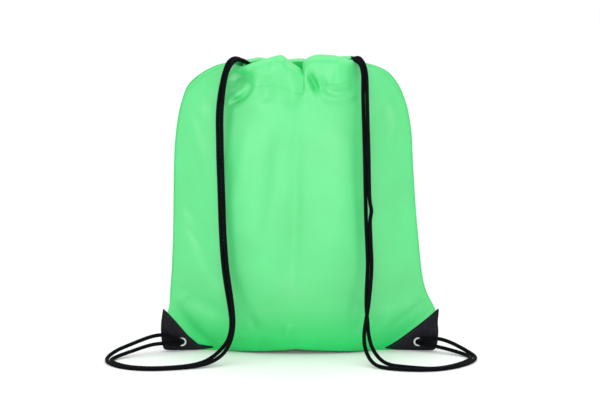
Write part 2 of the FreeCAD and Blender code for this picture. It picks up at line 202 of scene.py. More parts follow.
VIEW_RISE = math.radians(10)      # camera's height angle above the floor
VIEW_DISTANCE = 3.2
FRAME_WIDTH = 0.736               # what the image takes in across, at the bag
AIM = Vector((0.0, 0.0, 0.189))
SENSOR = 36.0
LIGHTS_AIM = Vector((0, 0, 0.17))


def add_aimed(name, data, location, aim):
    """A camera or light at a place, pointed at another."""
    aimed = bpy.data.objects.new(name, data)
    aimed.location = location
    aimed.rotation_euler = (aim - aimed.location).to_track_quat("-Z", "Y").to_euler()
    SCENE.collection.objects.link(aimed)
    return aimed


def make_camera():
    data = bpy.data.cameras.new("camera")
    data.sensor_width = SENSOR
    data.lens = SENSOR * VIEW_DISTANCE / FRAME_WIDTH
    data.clip_end = 40
    back = Vector((0, -math.cos(VIEW_RISE), math.sin(VIEW_RISE)))
    SCENE.camera = add_aimed("camera", data, AIM + back * VIEW_DISTANCE, AIM)


def make_floor():
    size = 30.0
    corners = [(-size, -size, 0), (size, -size, 0), (size, size, 0), (-size, size, 0)]
    floor = new_mesh("floor", corners, [(0, 1, 2, 3)], smooth=False)
    material, tree, shader, _ = start_material("floor_white")
    feed(tree, shader, {
        "Base Color": (0.93, 0.93, 0.93, 1), "Roughness": 0.95, "Specular IOR Level": 0.1,
    })
    floor.data.materials.append(material)


def area_light(name, location, size, power):
    data = bpy.data.lights.new(name, "AREA")
    data.shape = "RECTANGLE"
    data.size, data.size_y = size
    data.energy = power
    add_aimed(name, data, location, LIGHTS_AIM)


def make_world():
    """White studio, brighter overhead and behind, dim on the camera's side so that gloss shows form."""
    world = bpy.data.worlds.new("studio")
    world.use_nodes = True
    tree = world.node_tree
    place = tree.nodes.new("ShaderNodeTexCoord").outputs["Generated"]
    split = add_node(tree, "SeparateXYZ", {"Vector": place})
    behind = add_range(tree, split.outputs["Y"], -1.0, -0.2, 0.15, 1.0)
    overhead = add_range(tree, split.outputs["Z"], 0.0, 0.8, 0.62, 1.38)
    strength = add_math(tree, "MULTIPLY", behind, overhead)
    feed(tree, tree.nodes["Background"], {"Color": (1, 1, 1, 1), "Strength": strength})
    SCENE.world = world


def make_lights():
    make_world()
    area_light("left_softbox", (-1.9, -1.5, 1.0), (1.0, 1.6), 5.5)
    area_light("right_softbox", (2.0, -1.4, 1.0), (1.0, 1.6), 4.5)
    area_light("front_softbox", (-0.1, -3.0, 1.0), (2.6, 0.8), 32)
    area_light("top_softbox", (0.1, -0.4, 2.4), (1.8, 1.2), 5)
    SCENE.view_settings.view_transform = "Standard"


make_camera()
make_floor()
make_lights()

# Cords --------------------------------------------------------------------------------------

CORD_DIAMETER = 4.6 * MM
CORD_RADIUS = CORD_DIAMETER / 2
ROUTE_DETAIL = 22                 # places read from the spline between two of its points
TIP_REACH = 0.35                  # how far a tube's closed end stands out, in radii

# Route of the left cord's middle line, from one knot strand to the other.
LEFT_CORD = mm((
    (-151.5, -6.2, 14.6), (-159.5, -6.4, 18.5), (-170.5, -8, 22.5), (-184.5, -14, 21),
    (-198, -22.5, 17.5), (-211.5, -30.5, 13.5), (-224.5, -38, 9.5), (-234.5, -47.5, 4),
    (-235.6, -62, 2.4), (-229.5, -79, 2.4), (-216.5, -94, 2.4), (-198, -104.3, 2.4),
    (-175, -106.5, 2.4), (-151, -102, 2.4), (-127.5, -94.3, 2.5), (-106.5, -85.5, 5.5),
    (-91, -75, 14.5), (-83, -66, 29), (-80.2, -58.4, 46), (-81.4, -51.5, 64),
    (-85.1, -47.3, 90), (-89, -45.3, 118), (-91.1, -44.5, 151), (-92, -43.8, 175),
    (-92.6, -42.6, 200), (-93.3, -41, 222), (-94.1, -39.2, 245), (-94.5, -36.3, 272),
    (-94.9, -33.7, 298), (-93, -31, 321), (-90.6, -29, 340.5), (-87.2, -23.5, 353.5),
    (-79.8, -15, 364), (-71, -12, 364.6), (-63.2, -13.5, 360.3), (-55, -16, 356.2),
    (-44, -16.7, 353.3),
    (-29, -16.5, 352), (-7, -16, 347.8), (5, -16, 346), (17, -16.2, 346.3),
    (40, -16.7, 349), (62.9, -16.7, 351.5),
    (72.7, -6.9, 351.5), (72.7, 6.9, 351.5), (62.9, 16.7, 352), (40, 16.7, 350.3),
    (13, 16.4, 350), (-16, 16.5, 350), (-38, 16.7, 350.5), (-56, 16.5, 353.5),
    (-67, 12, 358.5), (-75, 4, 364), (-81, -5, 365.2), (-86.5, -14.5, 362.3),
    (-90, -20, 354.5),
    (-93.4, -25, 343), (-97.7, -30, 321), (-99.6, -33.3, 298),
    (-99.2, -35.8, 272), (-98.8, -38.5, 245), (-98, -40.5, 222), (-97.3, -42, 200),
    (-96.7, -43, 175), (-95.8, -43.5, 151), (-93.7, -44.2, 118), (-89.9, -45.5, 90),
    (-85.4, -48.2, 64), (-83, -54, 45), (-86.6, -62, 27), (-101, -72.5, 12.5),
    (-115.5, -81, 5), (-133, -89.3, 2.5), (-153, -97, 2.4), (-174.5, -101.3, 2.4),
    (-194.5, -99.3, 2.4), (-211, -91, 2.4), (-223.5, -77.3, 2.4), (-230, -63, 2.4),
    (-228.5, -51.5, 2.5), (-220, -42, 4.2), (-207.5, -32.5, 6.6), (-195, -23, 9.2),
    (-182.5, -13.5, 11), (-168, -8, 11.5), (-159, -6.4, 10.2), (-151.5, -6.2, 9.4),
))

# Route of the right cord's middle line, in the same order. Its two strands cross near the floor.
RIGHT_CORD = mm((
    (151.5, -6.2, 14.6), (159.5, -6.4, 17), (171.5, -8.5, 17.5), (184, -13, 14.5),
    (196, -18, 9.5), (207, -25, 4.5), (213.8, -37, 2.4), (214.2, -51, 2.4),
    (209.8, -65, 2.4), (201, -79.5, 2.4), (189.8, -92, 2.4), (175.5, -102.8, 2.4),
    (159.5, -109.3, 2.4), (141, -110.3, 2.4), (122, -107.8, 2.4), (105, -101.5, 2.4),
    (92, -92, 2.9), (84, -81.8, 8.5), (78.4, -72, 20), (77.4, -64.5, 35),
    (79.8, -59, 50), (82.4, -54.5, 63), (84.3, -51, 78), (86, -48.5, 95),
    (87.2, -47, 118), (86.1, -46.5, 140), (85.1, -46.5, 160), (84.6, -46.6, 174),
    (86.9, -46.6, 185), (84, -46.4, 196), (83.4, -45.6, 220), (82.9, -44, 251),
    (81.9, -41, 282), (81.2, -38, 306), (80.6, -34, 329), (80.5, -28.5, 344),
    (79, -21, 355.5), (75.8, -11.5, 362.4), (71.8, -1, 365.6), (66.8, 9.5, 363.5),
    (59.5, 18, 357.5), (48, 21.5, 353),
    (24, 22, 351), (-4, 22, 350), (-33, 22.2, 350), (-59.2, 22.2, 351),
    (-72.2, 9.2, 351), (-72.2, -9.2, 350), (-59.2, -21.5, 349), (-35, -22, 348.5),
    (-10, -21.8, 346.3), (5, -21.6, 345.8), (24, -22, 349), (41, -20.8, 352.5),
    (48, -18.6, 356.5), (54.5, -16.6, 361.2), (61.5, -16, 364.1), (68.7, -17, 363.8),
    (73.8, -20.5, 358.6), (76, -25, 349.8), (76.2, -29, 338), (75.9, -31, 325),
    (76.5, -33.5, 306), (77.3, -37.8, 282), (78.2, -41.8, 251), (78.7, -43.8, 226),
    (79.3, -44.8, 200), (80, -45.2, 170), (81.4, -45.2, 142), (82.5, -45.2, 118),
    (81.3, -45.4, 95), (80.7, -46.6, 78), (80.8, -49, 62), (82.2, -54, 48), (83.2, -60.3, 33),
    (87.6, -69, 18), (97, -78.5, 7), (108.5, -87, 2.6),
    (125, -93.5, 2.4), (143, -100.5, 2.4), (158.5, -104, 2.4), (173.5, -97.8, 2.4),
    (186, -87.3, 2.4), (196, -75.3, 2.4), (204.5, -61.8, 2.4), (208.3, -50.3, 2.4),
    (207.8, -41, 2.4), (203, -32, 2.8), (194.5, -25.3, 4.2), (184.5, -19.5, 5.8),
    (174, -13, 7.2), (163, -7.8, 8.4), (151.5, -6.2, 9.4),
))


def spline_path(points, detail=ROUTE_DETAIL):
    """The line of a smooth NURBS spline with these points, as Blender gives it."""
    data = bpy.data.curves.new("route", "CURVE")
    data.dimensions = "3D"
    data.resolution_u = detail
    spline = data.splines.new("NURBS")
    spline.points.add(len(points) - 1)
    for point, place in zip(spline.points, points):
        point.co = (*place, 1.0)
    spline.order_u = 3
    spline.use_endpoint_u = True
    curve = bpy.data.objects.new("route", data)
    SCENE.collection.objects.link(curve)
    bpy.context.view_layer.update()
    line = curve.evaluated_get(bpy.context.evaluated_depsgraph_get())
    mesh = bpy.data.meshes.new_from_object(line)
    path = np.array([v.co for v in mesh.vertices])
    bpy.data.objects.remove(curve)
    bpy.data.meshes.remove(mesh)
    bpy.data.curves.remove(data)
    return path


def tube_parts(path, radii, ring, ripple=0.0, waves=4, pitch=5 * MM):
    """Vertices, faces and UVs of a closed tube along path, its skin rippled like a braid."""
    along = distances_along(path)
    tangents = unit(np.gradient(path, axis=0))
    side = Vector(tangents[0]).orthogonal().normalized()
    verts, uvs = [], []
    for place, tangent, run, radius in zip(path, tangents, along, radii):
        tangent = Vector(tangent)
        side = (side - tangent * side.dot(tangent)).normalized()
        other = tangent.cross(side)
        for k in range(ring):
            turn = 2 * math.pi * k / ring
            crest = max(
                math.cos(waves * turn + 2 * math.pi * run / pitch),
                math.cos(waves * turn - 2 * math.pi * run / pitch),
            )
            reach = radius + ripple * crest
            offset = side * math.cos(turn) * reach + other * math.sin(turn) * reach
            verts.append(Vector(place) + offset)
            uvs.append((k / ring, run))
    faces = []
    for row in range(len(path) - 1):
        faces += ring_band(row * ring, (row + 1) * ring, ring)
    for row, outward in ((0, -1), (len(path) - 1, 1)):
        reach = outward * radii[row] * TIP_REACH
        verts.append(Vector(path[row]) + Vector(tangents[row]) * reach)
        uvs.append((0.5, along[row]))
        tip = len(verts) - 1
        for k in range(ring):
            a, b = row * ring + k, row * ring + (k + 1) % ring
            faces.append((a, b, tip) if outward > 0 else (b, a, tip))
    return verts, faces, uvs


def join_parts(parts):
    """One mesh's vertices, faces and UVs from several."""
    verts, faces, uvs = [], [], []
    for some_verts, some_faces, some_uvs in parts:
        start = len(verts)
        verts += some_verts
        faces += [tuple(index + start for index in face) for face in some_faces]
        uvs += some_uvs
    return verts, faces, uvs


def nylon_material(name, gloss_level, stops):
    """Thin green nylon: fine ribs across, a plain weave, a soft sheen, and painted shade towards the floor:
    less gloss over the bottom 60 mm.
    """
    material, tree, shader, place = start_material(name)
    cloth, solid = place["UV"], place["Object"]
    ribs = add_wave(tree, cloth, 135, "Y", 0.6)
    weft = add_wave(tree, cloth, 520, "Y", 0.3)
    warp = add_wave(tree, cloth, 520, "X", 0.3)
    weave = add_math(tree, "MULTIPLY", weft, warp)
    broad = add_noise(tree, solid, 16, 2.0, 0.5)
    fine = add_noise(tree, cloth, 900, 3.0, 0.6)
    crinkle = add_noise(tree, solid, 55, 3.0, 0.55)
    blend = add_sum(tree, 0.0, (broad, 0.62), (ribs, 0.13), (fine, 0.25))
    height = add_node(tree, "SeparateXYZ", {"Vector": solid}).outputs["Z"]
    normal = add_bump(tree, crinkle, 1.1 * MM, 0.35)
    normal = add_bump(tree, ribs, 0.10 * MM, 0.45, normal)
    normal = add_bump(tree, weave, 0.06 * MM, 0.5, normal)
    feed(tree, shader, {
        "Base Color": add_ramp(tree, blend, stops),
        "Roughness": add_sum(tree, 0.40, (broad, 0.12)),
        "IOR": 1.75,
        # Painted shade: the gloss falls to a quarter over the bottom 60 mm, so the cloth near the floor
        # looks darker.
        "Specular IOR Level": add_range(tree, height, 4 * MM, 60 * MM, 0.25 * gloss_level, gloss_level),
        "Sheen Weight": 0.12 * gloss_level,
        "Sheen Roughness": 0.45,
        "Sheen Tint": (0.93, 1.0, 0.94, 1),
        "Normal": normal,
    })
    return material


def braid_material():
    """Black braided polyester: two crossing sets of yarns, lighter on their crests."""
    material, tree, shader, place = start_material("black_braid")
    split = add_node(tree, "SeparateXYZ", {"Vector": place["UV"]})
    round_turns = add_math(tree, "MULTIPLY", split.outputs["X"], 8 * 2 * math.pi)
    along_turns = add_math(tree, "MULTIPLY", split.outputs["Y"], 2 * math.pi / (2.5 * MM))
    crossing = []
    for operation in ("ADD", "SUBTRACT"):
        angle = add_math(tree, operation, round_turns, along_turns)
        crossing.append(add_math(tree, "SINE", angle, 0.0))
    yarns = add_math(tree, "MAXIMUM", *crossing)
    hair = add_noise(tree, place["Object"], 1500, 2.0, 0.6)
    mixed = add_sum(tree, 0.0, (yarns, 0.35), (hair, 0.6))
    normal = add_bump(tree, yarns, 0.22 * MM, 0.8)
    feed(tree, shader, {
        "Base Color": add_ramp(tree, mixed, (
            (0.15, (0.0012, 0.0012, 0.002)), (0.5, (0.0030, 0.0028, 0.0048)),
            (0.85, (0.0085, 0.0078, 0.012)),
        )),
        "Roughness": add_sum(tree, 0.55, (hair, 0.2)),
        "Specular IOR Level": 0.05,
        "Normal": add_bump(tree, hair, 0.08 * MM, 0.4, normal),
    })
    return material


def leather_material():
    """Black coated patch leather: pebbled grain, softer gloss where it is rubbed."""
    material, tree, shader, place = start_material("black_patch_leather")
    solid = place["Object"]
    grain = add_node(tree, "TexVoronoi", {"Vector": solid, "Scale": 900})
    grain.feature = "DISTANCE_TO_EDGE"
    pebbles = add_math(tree, "MINIMUM", grain.outputs["Distance"], 0.25)
    creases = add_noise(tree, solid, 160, 4.0, 0.6)
    rubbed = add_noise(tree, solid, 38, 3.0, 0.5)
    normal = add_bump(tree, pebbles, 0.5 * MM, 0.45)
    feed(tree, shader, {
        "Base Color": add_ramp(tree, rubbed, (
            (0.3, (0.0030, 0.0028, 0.0048)), (0.55, (0.0048, 0.0043, 0.0078)),
            (0.75, (0.0110, 0.0096, 0.0165)),
        )),
        "Roughness": add_sum(tree, 0.62, (rubbed, -0.3)),
        "Specular IOR Level": 0.16,
        "Sheen Weight": 0.08,
        "Sheen Tint": (0.55, 0.45, 1.0, 1),
        "Normal": add_bump(tree, creases, 0.25 * MM, 0.5, normal),
    })
    return material


def thread_material(name, dark, light):
    """Spun sewing thread with its twist."""
    material, tree, shader, place = start_material(name)
    twist = add_wave(tree, place["Object"], 900, "DIAGONAL", 0.4)
    fuzz = add_noise(tree, place["Object"], 2200, 2.0, 0.6)
    mixed = add_sum(tree, 0.0, (twist, 0.5), (fuzz, 0.5))
    feed(tree, shader, {
        "Base Color": add_ramp(tree, mixed, ((0.2, dark), (0.8, light))),
        "Roughness": 0.6,
        "Specular IOR Level": 0.3,
        "Normal": add_bump(tree, twist, 0.08 * MM, 0.6),
    })
    return material


def metal_material():
    """Nickel-plated eyelet: bright, with fine turning marks and dull patches."""
    material, tree, shader, place = start_material("eyelet_nickel")
    marks = add_noise(tree, place["Object"], 1400, 3.0, 0.6)
    dull = add_noise(tree, place["Object"], 260, 2.0, 0.5)
    feed(tree, shader, {
        "Base Color": add_ramp(tree, dull, ((0.3, (0.50, 0.50, 0.50)), (0.7, (0.86, 0.86, 0.85)))),
        "Metallic": 1.0,
        "Roughness": add_sum(tree, 0.10, (dull, 0.25)),
        "Normal": add_bump(tree, marks, 0.03 * MM, 0.35),
    })
    return material


NYLON = nylon_material("green_nylon", 1.0, (
    (0.30, (0.002, 0.58, 0.110)), (0.52, (0.004, 0.64, 0.135)), (0.72, (0.010, 0.69, 0.155)),
))
# A darker, less glossy copy of the same nylon, for the casing's turned-down flap and the cloth's inner
# walls: painted shade for the inside of the bag.
SHADED_NYLON = nylon_material("green_nylon_inside_painted_shade", 0.12, (
    (0.30, (0.001, 0.50, 0.065)), (0.52, (0.002, 0.56, 0.080)), (0.72, (0.004, 0.61, 0.095)),
))
BRAID = braid_material()
LEATHER = leather_material()
THREADS = {
    "green_thread": thread_material("green_thread", (0.03, 0.58, 0.14), (0.07, 0.80, 0.24)),
    "black_thread": thread_material("black_thread", (0.004, 0.004, 0.006), (0.035, 0.033, 0.042)),
}
NICKEL = metal_material()

# Cords and their knots ----------------------------------------------------------------------

RING = 16
BRAID_RIPPLE = 0.1 * MM
EYELET_X, EYELET_Z = 146 * MM, 12 * MM
KNOT_Y = 10.4 * MM
KNOT_SIZE = 1.72 * MM             # a third of the trefoil's reach across
KNOT_DEPTH = 2.3 * MM
KNOT_RADIUS = CORD_RADIUS * 0.98  # the cord drawn tight
HOLE_RADIUS = 4.3 * MM            # cut in cloth and patches for an eyelet's barrel


def make_strand(points, radii_at, detail=8):
    """A short braided tube through given points, its radius given along it."""
    path = spline_path(mm(points), detail)
    along = distances_along(path)
    radii = np.interp(along / along[-1], *zip(*radii_at)) * MM
    return tube_parts(path, radii, RING, BRAID_RIPPLE)


def trefoil_path(centre, size, depth, count=120):
    """An overhand knot drawn tight: a trefoil lying across the eyelet's axis."""
    turns = np.linspace(0, 2 * math.pi * 1.01, count)
    x = np.sin(turns) + 2 * np.sin(2 * turns)
    z = np.cos(turns) - 2 * np.cos(2 * turns)
    y = np.sin(3 * turns)
    return np.stack([centre[0] + size * x, centre[1] + depth * y, centre[2] + size * z], 1)


def make_knot(side, sign):
    """The knot behind the patch, its two strands coming out in front through the eyelet."""
    x = sign * EYELET_X / MM
    parts = []
    for stub, through, inside in ((14.6, 13.5, 13.0), (9.4, 10.5, 11.0)):
        points = (
            (x + sign * 5.5, -6.2, stub), (x + sign * 3.2, -6.0, (stub + through) / 2),
            (x + sign * 1.2, -4.4, through), (x + sign * 0.3, -1.5, through),
            (x, 2.0, inside), (x, 5.0, inside), (x, 8.5, inside),
        )
        squeeze = ((0, 2.3), (0.25, 2.25), (0.42, 1.75), (0.7, 1.75), (0.85, 2.2), (1, 2.3))
        parts.append(make_strand(points, squeeze))
    centre = (sign * EYELET_X, KNOT_Y, EYELET_Z)
    loop = trefoil_path(centre, KNOT_SIZE, KNOT_DEPTH)
    parts.append(tube_parts(loop, [KNOT_RADIUS] * len(loop), RING, BRAID_RIPPLE))
    for lean, reach in ((1, 8.0), (-1, 6.5)):
        tail = (
            (x + lean * 1.5, 11.5, 11), (x + lean * 4, 13.5, 9), (x + lean * 6.2, 15.5, 6),
            (x + lean * reach, 18.5, 3.6), (x + lean * (reach + 1), 22, 2.6),
        )
        parts.append(make_strand(tail, ((0, 2.3), (0.9, 2.3), (1, 2.0))))
    verts, faces, uvs = join_parts(parts)
    knot = new_mesh(side + "_braided_knot", verts, faces, uvs=uvs)
    return finish_piece(knot, BRAID, "cord_braid", side + "_cord_knot")


def make_cord(side, route):
    path = spline_path(route)
    verts, faces, uvs = tube_parts(path, [CORD_RADIUS] * len(path), RING, BRAID_RIPPLE)
    cord = new_mesh(side + "_braided_cord", verts, faces, uvs=uvs)
    finish_piece(cord, BRAID, "cord_braid", side + "_cord")
    knot = make_knot(side, -1 if side == "left" else 1)
    return path


CORD_PATHS = [make_cord("left", LEFT_CORD), make_cord("right", RIGHT_CORD)]

# Bag cloth ----------------------------------------------------------------------------------

PANEL_WIDTH = 340 * MM
PANEL_RISE = 408 * MM             # bottom seam to the folded top edge
COLUMNS = 88
ROWS = 100
ROW_RISE = PANEL_RISE / ROWS
HEM_ROWS = 10                     # rows in the depth of the folded casing
LIP_ROWS = 4                      # rows that turn over the fold
SEAM_ROWS = ROWS - HEM_ROWS       # rows that the side seams join
PATCH_RUN = 70 * MM
PATCH_RISE = 56 * MM
PATCH_HOLLOWS = (0.11, 0.05)      # how far the slanting edge bends inward, left and right
BAG_DEPTH = 46 * MM               # the middle of each panel from the seams, before it settles
GATHER_EASE = 0.74                # how much of the hem's width the gathers leave to the cloth
SETTLE_FRAMES = 40
CLOTH_THICKNESS = 0.35 * MM
CLOTH_STIFFNESS = (               # each way that cloth gives: its stiffness and its damping
    ("tension", 25, 8), ("compression", 25, 8), ("shear", 8, 8), ("bending", 0.2, 0.6),
)
FRONT, BACK = -1, 1
FACES = {FRONT: "front", BACK: "back"}

# Side seams as seen from the front, (x, z), from the floor up to the casing.
LEFT_EDGE = mm((
    (-166.5, 0.8), (-169, 14), (-169.3, 28), (-166, 44), (-161.8, 56), (-160.3, 77),
    (-158.3, 102), (-157, 128), (-156, 153), (-155.3, 190), (-154.5, 227), (-152.6, 264),
    (-147.6, 299), (-139.2, 326.5), (-131.5, 337.5), (-123.5, 344), (-115.5, 349.5),
    (-108, 353.2), (-100.5, 356.6), (-84, 360.5),
))
RIGHT_EDGE = mm((
    (166.5, 0.8), (169, 14), (169.8, 34), (167.6, 52), (161.5, 64), (156.2, 75), (152, 90),
    (149, 110), (145, 150), (141.5, 189), (138.2, 238), (136.5, 271), (132, 300),
    (126.5, 318), (121, 330.5), (113, 342), (105.5, 349.3), (98, 353.2), (90, 356.3), (78, 359.5),
))
# Free ends of each casing, from the top of the side seam to the end of the fold.
MOUTHS = {
    (FRONT, 0): mm(((-84, 0, 360.5), (-79, -8, 358.5), (-72.5, -14, 356.5), (-66, -18, 357.5))),
    (FRONT, 1): mm(((78, 0, 359.5), (74.5, -7, 361.5), (69.5, -13.5, 363.5), (64, -17, 366.6))),
    (BACK, 0): mm(((-84, 0, 360.5), (-82.5, 9, 360.5), (-76, 15, 360.5), (-66.4, 18, 360.5))),
    (BACK, 1): mm(((78, 0, 359.5), (76, 8, 362), (69, 15, 364.5), (61, 18, 365.5))),
}
# The folded top edge of each panel, gathered along the cords, (x, y, z).
FOLDS = {
    FRONT: mm((
        (-66, -18, 357.5), (-61, -20, 361), (-54, -20, 362.8), (-47, -20.5, 364.8),
        (-39, -22, 367.5), (-34, -20, 369), (-23, -20.5, 371.2), (-17, -19.5, 367.8),
        (-12, -21, 363.5), (-7, -21.5, 360), (-2, -21.5, 356.8), (3, -21, 353.6), (7, -19.5, 350.8),
        (6.5, -16.5, 352), (3.5, -15.2, 355), (3, -16.5, 359), (5, -20, 364), (10.5, -22, 368.6),
        (18.5, -21.5, 371.5), (25.6, -20.5, 371.9), (35, -20, 371.2), (44, -20, 370.3),
        (50.5, -19, 367.5), (55.5, -17.8, 364.6), (60, -17.5, 365.6), (64, -17, 366.6),
    )),
    BACK: mm((
        (-66.4, 18, 360.5), (-57, 21, 362.3), (-49, 20, 363.5), (-41, 17, 362.6), (-35, 20, 362.4),
        (-26, 23, 362), (-18, 19.5, 361.5), (-11, 18, 361.5), (-4, 21, 362), (5, 22.5, 361.5),
        (13, 19, 360.5), (20, 18, 361), (28, 21.5, 362), (37, 22.5, 363.5), (46, 19, 364.5),
        (53, 18, 365.3), (61, 18, 365.5),
    )),
}
LIP_REACH = 12.5 * MM             # how far the casing's outer wall stands before its fold
LIP_DROP = 10.5 * MM
CASING_DEPTH = 23.5 * MM          # tunnel, wall to wall, at the cords
CORD_CLEARANCE = 0.9 * MM


def smooth_line(points, count):
    """count points evenly spaced along a smooth line through the given points."""
    ends = np.vstack([2 * points[0] - points[1], points, 2 * points[-1] - points[-2]])
    dense = []
    for a, b, c, d in zip(ends, ends[1:], ends[2:], ends[3:]):
        for t in np.linspace(0, 1, 12, endpoint=False):
            dense.append(
                0.5 * (2 * b + (c - a) * t + (2 * a - 5 * b + 4 * c - d) * t * t
                       + (3 * b - a - 3 * c + d) * t ** 3)
            )
    dense.append(points[-1])
    dense = np.array(dense)
    along = distances_along(dense)
    return read_line(dense, along, np.linspace(0, along[-1], count))


def flat_grid():
    """Each grid point's place on the flat panel: across from the middle, and up."""
    across = (np.arange(COLUMNS + 1) / COLUMNS - 0.5) * PANEL_WIDTH
    up = np.arange(ROWS + 1) * ROW_RISE
    return np.meshgrid(across, up)


def even_line(points, spread):
    """The line with its folds evened out over about spread points each way."""
    padded = np.pad(points, ((spread, spread), (0, 0)), mode="edge")
    weights = np.exp(-np.linspace(-1.6, 1.6, 2 * spread + 1) ** 2)
    weights /= weights.sum()
    return np.stack([np.convolve(padded[:, k], weights, "valid") for k in range(3)], 1)


def patch_share(across, rise):
    """How far out from a bottom corner: under 1 within a patch, whose slanting edge is hollow."""
    run = (PANEL_WIDTH / 2 - abs(across)) / PATCH_RUN
    share = run + rise / PATCH_RISE
    along = np.clip(run / np.maximum(share, 1e-6), 0, 1)
    hollow = np.where(across < 0, *PATCH_HOLLOWS)
    return share / (1 - hollow * 4 * along * (1 - along))


ACROSS, RISE = flat_grid()
CORNER = patch_share(ACROSS, RISE)


def side_fade(columns):
    """0 at both sides of a panel, growing to 1 over some columns."""
    number = np.arange(COLUMNS + 1)
    return smoothstep(0, columns, np.minimum(number, COLUMNS - number))


def side_edge(line, side, column_side):
    """One panel's edge: the side seam, then the open end of its casing."""
    seam = smooth_line(line, SEAM_ROWS + 1)
    seam = np.stack([seam[:, 0], np.zeros(len(seam)), seam[:, 1]], 1)
    mouth = smooth_line(MOUTHS[(side, column_side)], HEM_ROWS + 1)
    return np.vstack([seam, mouth[1:]])


def starting_shape(side):
    """A panel before its cloth is let go: edges and fold in place, roughly filled."""
    left, right = side_edge(LEFT_EDGE, side, 0), side_edge(RIGHT_EDGE, side, 1)
    fold = smooth_line(FOLDS[side], COLUMNS + 1)
    share = np.arange(COLUMNS + 1) / COLUMNS
    lens = (1 - (2 * share - 1) ** 2) ** 0.75
    places = np.zeros((ROWS + 1, COLUMNS + 1, 3))
    lip = []
    for row in range(LIP_ROWS + 1):
        turn = math.pi / 2 * (1 - row / LIP_ROWS)
        shift = (0, side * LIP_REACH * math.sin(turn), -LIP_DROP * (1 - math.cos(turn)))
        lip.append(fold + np.array(shift))
    first_lip = ROWS - LIP_ROWS
    below = even_line(lip[0], 11)
    level_top = even_line(lip[0], 20)[:, 2]
    inside = smoothstep(0.0, 0.24, np.minimum(share, 1 - share))
    seam_heights = (left[:SEAM_ROWS + 1, 2] + right[:SEAM_ROWS + 1, 2]) / 2
    for row in range(ROWS + 1):
        rise = row / ROWS
        even = smoothstep(0, 7, first_lip - row)
        height = lip[0][:, 2] * (1 - even) + level_top * even
        height = height * min(1, row / first_lip)
        level = np.interp(height, seam_heights, np.arange(SEAM_ROWS + 1))
        level = min(row, SEAM_ROWS) * (1 - inside) + level * inside
        sides = [read_line(edge, np.arange(ROWS + 1), level) for edge in (left, right)]
        body = sides[0] * (1 - share[:, None]) + sides[1] * share[:, None]
        depth = BAG_DEPTH * min(1.0, 0.35 + 2.4 * rise) * (1 - 0.45 * smoothstep(0.6, 1.0, rise))
        depth = depth * smoothstep(1.0, 1.7, CORNER[row])
        body[:, 1] = side * depth * lens
        if row >= first_lip:
            target = lip[row - first_lip]
        else:
            target = lip[0] * (1 - even) + below * even
            target = target + np.array((0, side * 5 * MM * even, 0))
            target[:, 2] = height
        top = smoothstep(0.70, 0.94, rise)
        inner = body * (1 - top) + target * top
        hold = side_fade(9)[:, None] * top + (1 - top)
        edge = np.where(share[:, None] < 0.5, left[row], right[row])
        places[row] = inner * hold + edge * (1 - hold)
        places[row, 0], places[row, -1] = left[row], right[row]
    return places


def grid_faces(rows, columns, first, flip):
    faces = []
    for row in range(rows):
        for column in range(columns):
            corner = row * (columns + 1) + column
            face = (corner, corner + 1, corner + columns + 2, corner + columns + 1)
            faces.append(tuple(first + index for index in (reversed(face) if flip else face)))
    return faces


def simulate_bag(panels, frames):
    """Lets the cloth settle between its seams and its gathered edge, pushed out from inside."""
    count = (ROWS + 1) * (COLUMNS + 1)
    places = np.vstack([panels[FRONT].reshape(-1, 3), panels[BACK].reshape(-1, 3)])
    faces = grid_faces(ROWS, COLUMNS, 0, False) + grid_faces(ROWS, COLUMNS, count, True)
    cloth = new_mesh("bag_cloth_start", places, faces)
    cloth.shape_key_add(name="Basis")
    flat = cloth.shape_key_add(name="flat")
    ease = 1 - (1 - GATHER_EASE) * smoothstep(0.62, 0.97, RISE / PANEL_RISE)
    spread = np.stack([ACROSS * ease, np.zeros_like(ACROSS), RISE], -1).reshape(-1, 3)
    flat.data.foreach_set("co", np.vstack([spread, spread]).ravel())
    flat.value = 0.0
    pinned = (CORNER < 1.0) | (RISE == 0) | (RISE > PANEL_RISE - (LIP_ROWS + 0.5) * ROW_RISE)
    pinned[:, 0] = pinned[:, -1] = True
    held = np.flatnonzero(pinned.ravel())
    pins = cloth.vertex_groups.new(name="pins")
    pins.add([int(i) for i in held] + [int(i) + count for i in held], 1.0, "ADD")

    modifier = cloth.modifiers.new("cloth", "CLOTH")
    settings = modifier.settings
    settings.quality = 7
    settings.mass = 0.15
    for way, stiffness, damping in CLOTH_STIFFNESS:
        setattr(settings, way + "_stiffness", stiffness)
        setattr(settings, way + "_damping", damping)
    settings.air_damping = 3
    settings.vertex_group_mass = "pins"
    settings.rest_shape_key = flat
    settings.use_pressure = True
    settings.uniform_pressure_force = 3.0
    settings.effector_weights.gravity = 0.3
    modifier.collision_settings.use_collision = False
    modifier.point_cache.frame_start = 1
    modifier.point_cache.frame_end = frames
    for number in range(1, frames + 1):
        SCENE.frame_set(number)
    settled = cloth.evaluated_get(bpy.context.evaluated_depsgraph_get())
    places = np.zeros(2 * count * 3)
    settled.data.vertices.foreach_get("co", places)
    bpy.data.objects.remove(cloth)
    SCENE.frame_set(1)
    places = places.reshape(2, ROWS + 1, COLUMNS + 1, 3)
    return {FRONT: places[0], BACK: places[1]}


